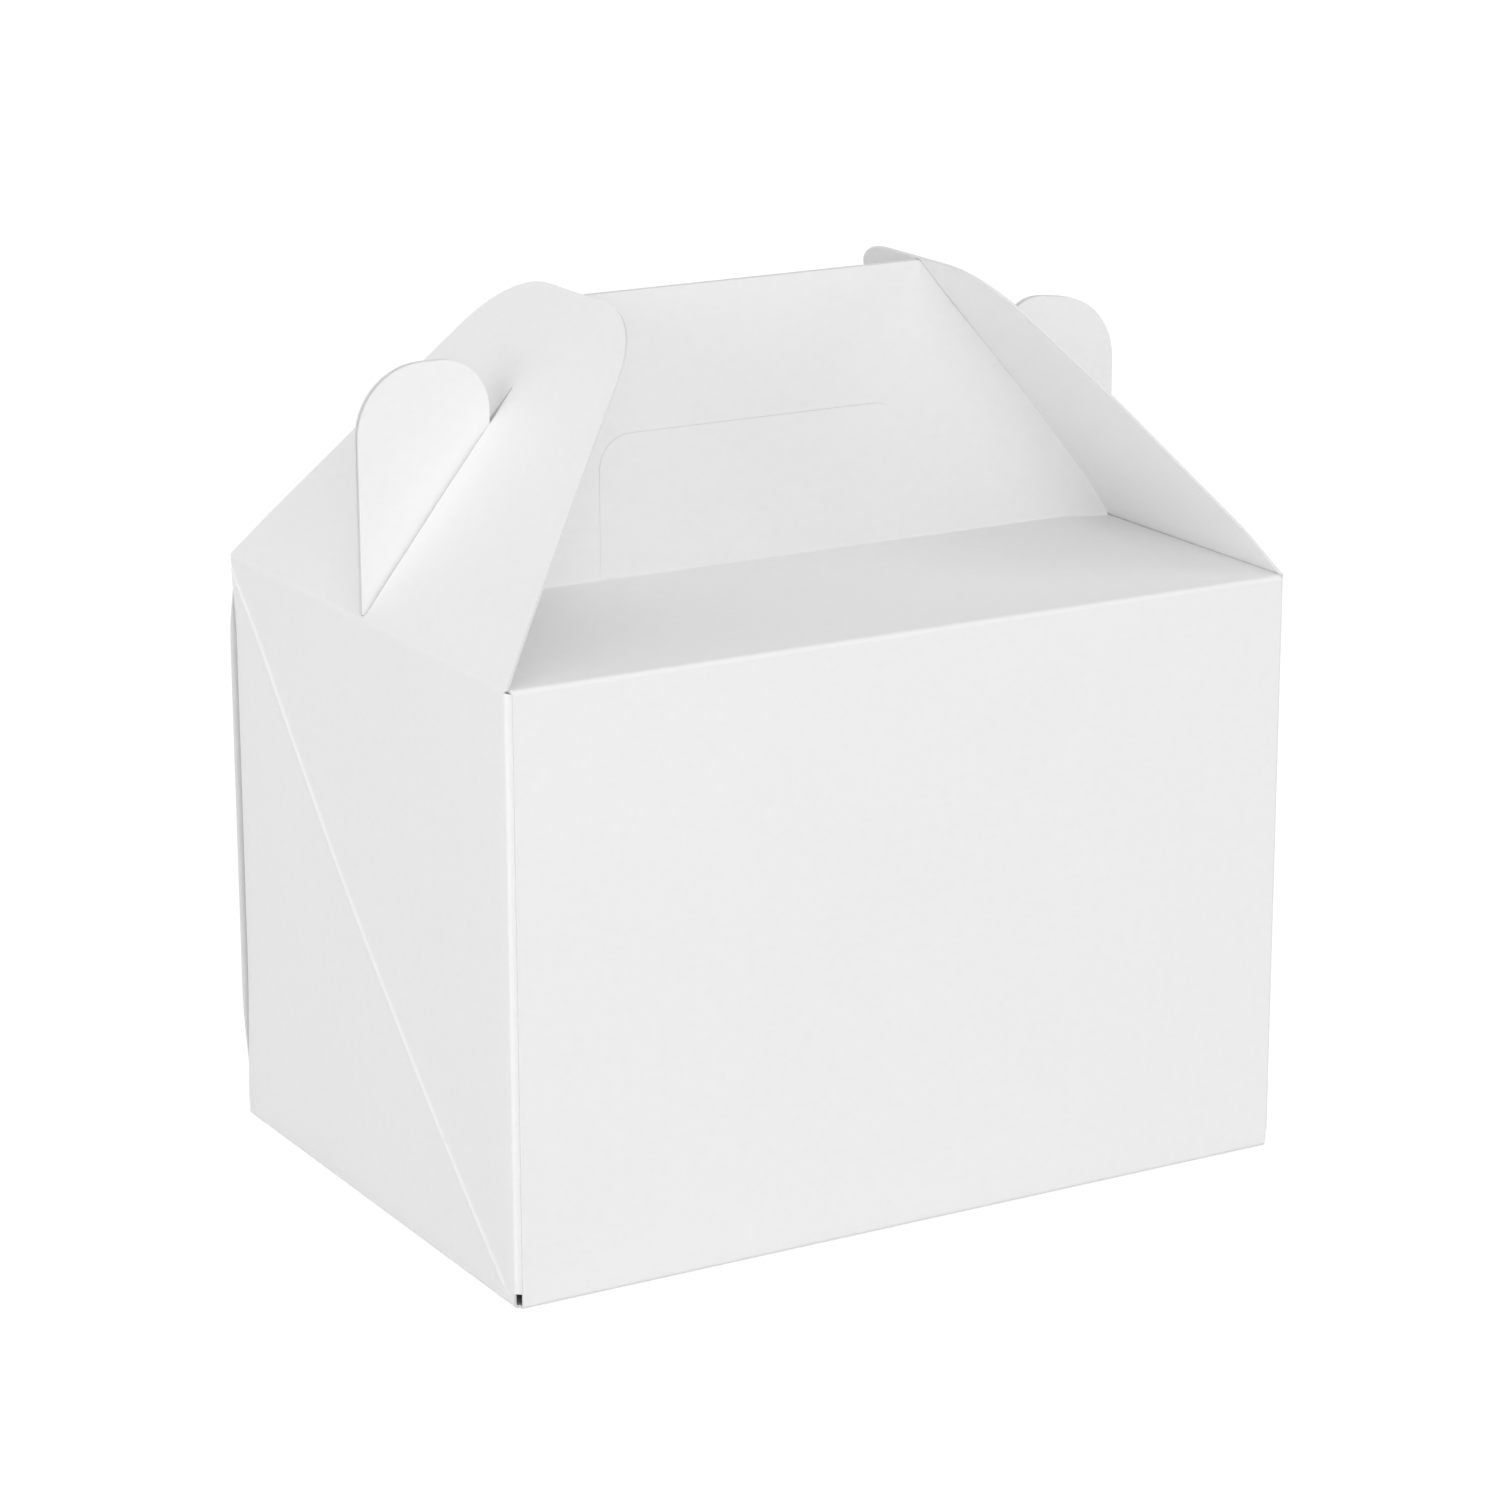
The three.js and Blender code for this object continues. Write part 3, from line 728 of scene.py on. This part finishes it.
def end_crease_highlight(u, v):
    """The end's painted crease highlights: faint ones along its folds and upright edges, and a full
    one, as a bell curve, along the wall's diagonal."""
    folds = near_lines(v, UPRIGHT.folds, CREASE_HIGHLIGHT_WIDTH)
    upright = near_lines(np.abs(u), [UPRIGHT_HALF + FOLD_ARC / 2], CREASE_HIGHLIGHT_WIDTH)
    bell = np.exp(-((from_diagonal(u, v) / DIAGONAL_HIGHLIGHT_WIDTH) ** 2))
    diagonal = bell * (v < HINGE_V) * (v > WALL_V)
    return np.maximum(END_CREASE_HIGHLIGHT * np.maximum(folds, upright * (v < HINGE_V)), diagonal)


def make_end(name, side):
    """An end: its blank with the slot cut out, its points close together across the folds, the
    upright edges, the diagonal crease and beside the slot."""
    rows, folds = UPRIGHT.rows(END_SPREAD)
    slit_rows = HINGE_V + np.arange(SLOT_TAPER_START, SLOT_LENGTH + STEP, SLIT_ROW_STEP)
    rows = np.unique(np.concatenate([rows, slit_rows]))
    plain = np.linspace(-UPRIGHT_HALF, UPRIGHT_HALF, int(2 * UPRIGHT_HALF / STEP) + 1)
    fold = np.linspace(0, FOLD_ARC, FOLD_PARTS + 1)[1:]
    glue_flap = FOLD * 2 + np.arange(1, GLUE_FLAP_COLUMNS + 1) * STEP
    beyond = UPRIGHT_HALF + np.concatenate([fold, glue_flap])
    columns = np.unique(np.concatenate([plain, beyond, -beyond, SLOT_COLUMNS, -SLOT_COLUMNS]))
    bends = np.concatenate([[UPRIGHT_HALF, -UPRIGHT_HALF], fold + UPRIGHT_HALF, -fold - UPRIGHT_HALF])
    outlines = [end_outline(), slot_outline()]
    flat, tris = die_cut(outlines, columns, rows, folds, bends, diagonal_points())
    return folded_card(name, flat, tris, place_end(side), end_crease_highlight)


# A hand tab: a flat sheet with a crease at its foot.

TAB_FINE = 0.15 * MM  # distance between its rows across the crease
TAB_FINE_START = 0.1 * MM  # of those rows, over the tab's foot
TAB_FINE_END = 1.4 * MM  # and over its hinge
TAB_PROUD = 0.13 * MM  # how far its middle stands off the panel's face
TAB_TWIST = 0.08 * MM  # how much more its right edge does
TAB_TWIST_REACH = 40 * MM
TAB_PROUD_RUN = 20 * MM


def make_tab(name, side):
    """A hand tab: its blank, with rows close together across its crease, stood at its panel."""
    folds = np.arange(TAB_LOW.z + TAB_FINE_START, TAB_HINGE.z + TAB_FINE_END, TAB_FINE)
    rows = np.concatenate([folds, np.arange(TAB_HINGE.z + STEP, TAB_HIGH.z, STEP)])
    beyond = round(TAB_HIGH.x / STEP)
    columns = STEP * np.arange(1 - beyond, beyond)
    flat, tris = die_cut([window_outline(0.0)], columns, rows, folds)

    def place(u, v, w):
        """Points of a flat sheet at the panel's middle, standing proud by a ramp up from the
        fold, times a sum that grows in a straight line to the right."""
        from_fold = ramp(v, TAB_HINGE.z, TAB_PROUD_RUN)
        proud = (TAB_PROUD + TAB_TWIST * u / TAB_TWIST_REACH) * from_fold
        return np.column_stack([u, side * (PANEL_Y + proud) + w, v])

    def crease(u, v):
        """A faint painted highlight along the tab's fold."""
        return TAB_CREASE_HIGHLIGHT * near_lines(v, [TAB_HINGE.z], TAB_HIGHLIGHT_WIDTH)

    return folded_card(name, flat, tris, place, crease)


# The card, the floor, the lights and the camera.

DULLEST_FACE = 0.97  # brightness of the card's face, as a share of its colour
LIGHTEST_FACE = 1.045
# Cut edges are greyer partly for the board's grey core and partly as painted shade, which tones down
# the lamps' light on them and darkens the groove beside the walls.
CUT_EDGE_CORE_AND_SHADE = 0.87


def card_material(name, colour):
    """White uncoated card: a matt surface with very fine mottling and fibres, a painted highlight
    along the creases, and cut edges that are greyer, partly for the board's grey core and partly as
    painted shade."""
    material = bpy.data.materials.new(name)
    material.use_nodes = True
    nodes, links = material.node_tree.nodes, material.node_tree.links
    shader = nodes["Principled BSDF"]
    shader.inputs["Roughness"].default_value = 0.62
    shader.inputs["Specular IOR Level"].default_value = 0.35
    place = nodes.new("ShaderNodeTexCoord")

    def noise(scale, detail, stretch=(1, 1, 1)):
        """Noise on the piece's own coordinates, stretched and scaled."""
        mapping = nodes.new("ShaderNodeMapping")
        mapping.inputs["Scale"].default_value = stretch
        texture = nodes.new("ShaderNodeTexNoise")
        texture.inputs["Scale"].default_value = scale
        texture.inputs["Detail"].default_value = detail
        links.new(place.outputs["Object"], mapping.inputs["Vector"])
        links.new(mapping.outputs["Vector"], texture.inputs["Vector"])
        return texture.outputs["Fac"]

    def maths(operation, a, b):
        """The result of an operation on two values, each a number or another node's output."""
        node = nodes.new("ShaderNodeMath")
        node.operation = operation
        for socket, value in zip(node.inputs, (a, b)):
            if isinstance(value, (int, float)):
                socket.default_value = value
            else:
                links.new(value, socket)
        return node.outputs[0]

    def named(attribute):
        """The value of one of the piece's own attributes."""
        node = nodes.new("ShaderNodeAttribute")
        node.attribute_name = attribute
        return node.outputs["Fac"]

    def blend_colours(factor, first, second):
        """A blend from the first colour to the second, each the card's colour times a number, or
        another node's output."""
        mix = nodes.new("ShaderNodeMix")
        mix.data_type = "RGBA"
        links.new(factor, mix.inputs[0])
        for socket, value in ((mix.inputs[6], first), (mix.inputs[7], second)):
            if isinstance(value, float):
                socket.default_value = (*[c * value for c in colour], 1)
            else:
                links.new(value, socket)
        return mix.outputs[2]

    mottle = noise(420, 4, (1, 1, 1.5))
    cloud = noise(30, 2)
    fibre = noise(1400, 4)
    shade = maths("ADD", maths("MULTIPLY", mottle, 0.6), maths("MULTIPLY", cloud, 0.2))
    # The faces lighten towards LIGHTEST_FACE with the random mottling and with the crease attribute,
    # which is a painted highlight along the folds.
    face = blend_colours(maths("ADD", shade, named("crease")), DULLEST_FACE, LIGHTEST_FACE)
    # The cut edges blend to a greyer colour: partly the board's grey core, partly painted shade.
    links.new(blend_colours(named("cut_edge"), face, CUT_EDGE_CORE_AND_SHADE), shader.inputs["Base Color"])
    bump = nodes.new("ShaderNodeBump")
    bump.inputs["Strength"].default_value = 0.12
    bump.inputs["Distance"].default_value = 0.12 * MM
    height = maths("ADD", maths("MULTIPLY", mottle, 0.7), maths("MULTIPLY", fibre, 0.5))
    links.new(height, bump.inputs["Height"])
    links.new(bump.outputs["Normal"], shader.inputs["Normal"])
    return material


def plain_floor(size):
    """A square pale floor under the box. The camera sees it white, as a grey surface plus a
    glow, with a soft shadow near the box. Light that bounces meets a plain pale surface."""
    bpy.ops.mesh.primitive_plane_add(size=size)
    floor = bpy.context.object
    floor.name = "floor"
    material = bpy.data.materials.new("pale_floor")
    material.use_nodes = True
    nodes, links = material.node_tree.nodes, material.node_tree.links
    nodes.remove(nodes["Principled BSDF"])
    pale = nodes.new("ShaderNodeBsdfDiffuse")
    pale.inputs["Color"].default_value = (0.8, 0.8, 0.8, 1)
    seen = nodes.new("ShaderNodeBsdfDiffuse")
    seen.inputs["Color"].default_value = (0.3, 0.3, 0.3, 1)
    glow = nodes.new("ShaderNodeEmission")
    glow.inputs["Strength"].default_value = 0.8
    both = nodes.new("ShaderNodeAddShader")
    links.new(seen.outputs[0], both.inputs[0])
    links.new(glow.outputs[0], both.inputs[1])
    path = nodes.new("ShaderNodeLightPath")
    mix = nodes.new("ShaderNodeMixShader")
    links.new(path.outputs["Is Camera Ray"], mix.inputs[0])
    links.new(pale.outputs[0], mix.inputs[1])
    links.new(both.outputs[0], mix.inputs[2])
    links.new(mix.outputs[0], nodes["Material Output"].inputs["Surface"])
    floor.data.materials.append(material)


def soft_world(level):
    """White where the camera sees it, and an even grey light for everything else."""
    world = bpy.data.worlds.new("studio")
    bpy.context.scene.world = world
    world.use_nodes = True
    nodes, links = world.node_tree.nodes, world.node_tree.links
    background = nodes["Background"]
    background.inputs["Color"].default_value = (1, 1, 1, 1)
    path = nodes.new("ShaderNodeLightPath")
    mix = nodes.new("ShaderNodeMix")
    mix.data_type = "FLOAT"
    links.new(path.outputs["Is Camera Ray"], mix.inputs[0])
    mix.inputs[2].default_value = level
    mix.inputs[3].default_value = 1.0
    links.new(mix.outputs[0], background.inputs["Strength"])


LAMP_SIZE = 1.6
LAMP_AIM = Vector((0, 0, 0.1))
LAMPS = {
    "front_lamp": ((-0.6, -2.4, 0.9), 19),
    "left_lamp": ((-2.4, -0.6, 0.7), 19.5),
    "top_lamp": ((0.2, -0.4, 2.6), 7),
    "right_lamp": ((2.4, -1.2, 0.8), 9),
    "back_lamp": ((0.9, 2.4, 1.2), 15),
}  # places in metres and powers in watts


def soft_lamp(name, place, power):
    """A square soft lamp aimed at the middle of the box."""
    data = bpy.data.lights.new(name, "AREA")
    data.size = LAMP_SIZE
    data.energy = power
    lamp = bpy.data.objects.new(name, data)
    lamp.location = place
    aim = LAMP_AIM - Vector(place)
    lamp.rotation_euler = aim.to_track_quat("-Z", "Y").to_euler()
    bpy.context.scene.collection.objects.link(lamp)


CAMERA_PLACE = Vector((-0.52406, -0.91115, 0.39644))
CAMERA_TURNS = (-29.88, 16.043, -0.16)  # degrees to the side, up and rolled
CAMERA_LENS = 112.23  # on a sensor 36 mm wide


def photo_camera():
    """The camera at the photograph's viewpoint, looking back down the line that its first two
    turns give, and then rolled about that line."""
    data = bpy.data.cameras.new("photo_camera")
    data.sensor_width = 36
    data.lens = CAMERA_LENS
    camera = bpy.data.objects.new("photo_camera", data)
    yaw, pitch, roll = (math.radians(a) for a in CAMERA_TURNS)
    back = Vector((
        math.sin(yaw) * math.cos(pitch),
        -math.cos(yaw) * math.cos(pitch),
        math.sin(pitch),
    ))
    camera.location = CAMERA_PLACE
    camera.rotation_mode = "QUATERNION"
    aim = (-back).to_track_quat("-Z", "Y")
    camera.rotation_quaternion = aim @ Quaternion((0, 0, 1), roll)
    bpy.context.scene.collection.objects.link(camera)
    bpy.context.scene.camera = camera


photo_camera()
bpy.context.scene.view_settings.view_transform = "Standard"
card = card_material("white_card", (0.87, 0.87, 0.87))

wrap = make_wrap()
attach(wrap, "carton")
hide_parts("carton")

for side, word in ((-1, "left"), (1, "right")):
    end = make_end(f"{word}_end_card", side)
    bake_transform(end)
    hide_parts(f"{word}_end_flap")

for side, word in ((-1, "front"), (1, "back")):
    tab = make_tab(f"{word}_tab_card", side)
    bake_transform(tab)
    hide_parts(f"{word}_hand_tab")

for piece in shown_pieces():
    piece.data.materials.append(card)

plain_floor(12)
soft_world(0.52)
for name, (place, power) in LAMPS.items():
    soft_lamp(name, place, power)
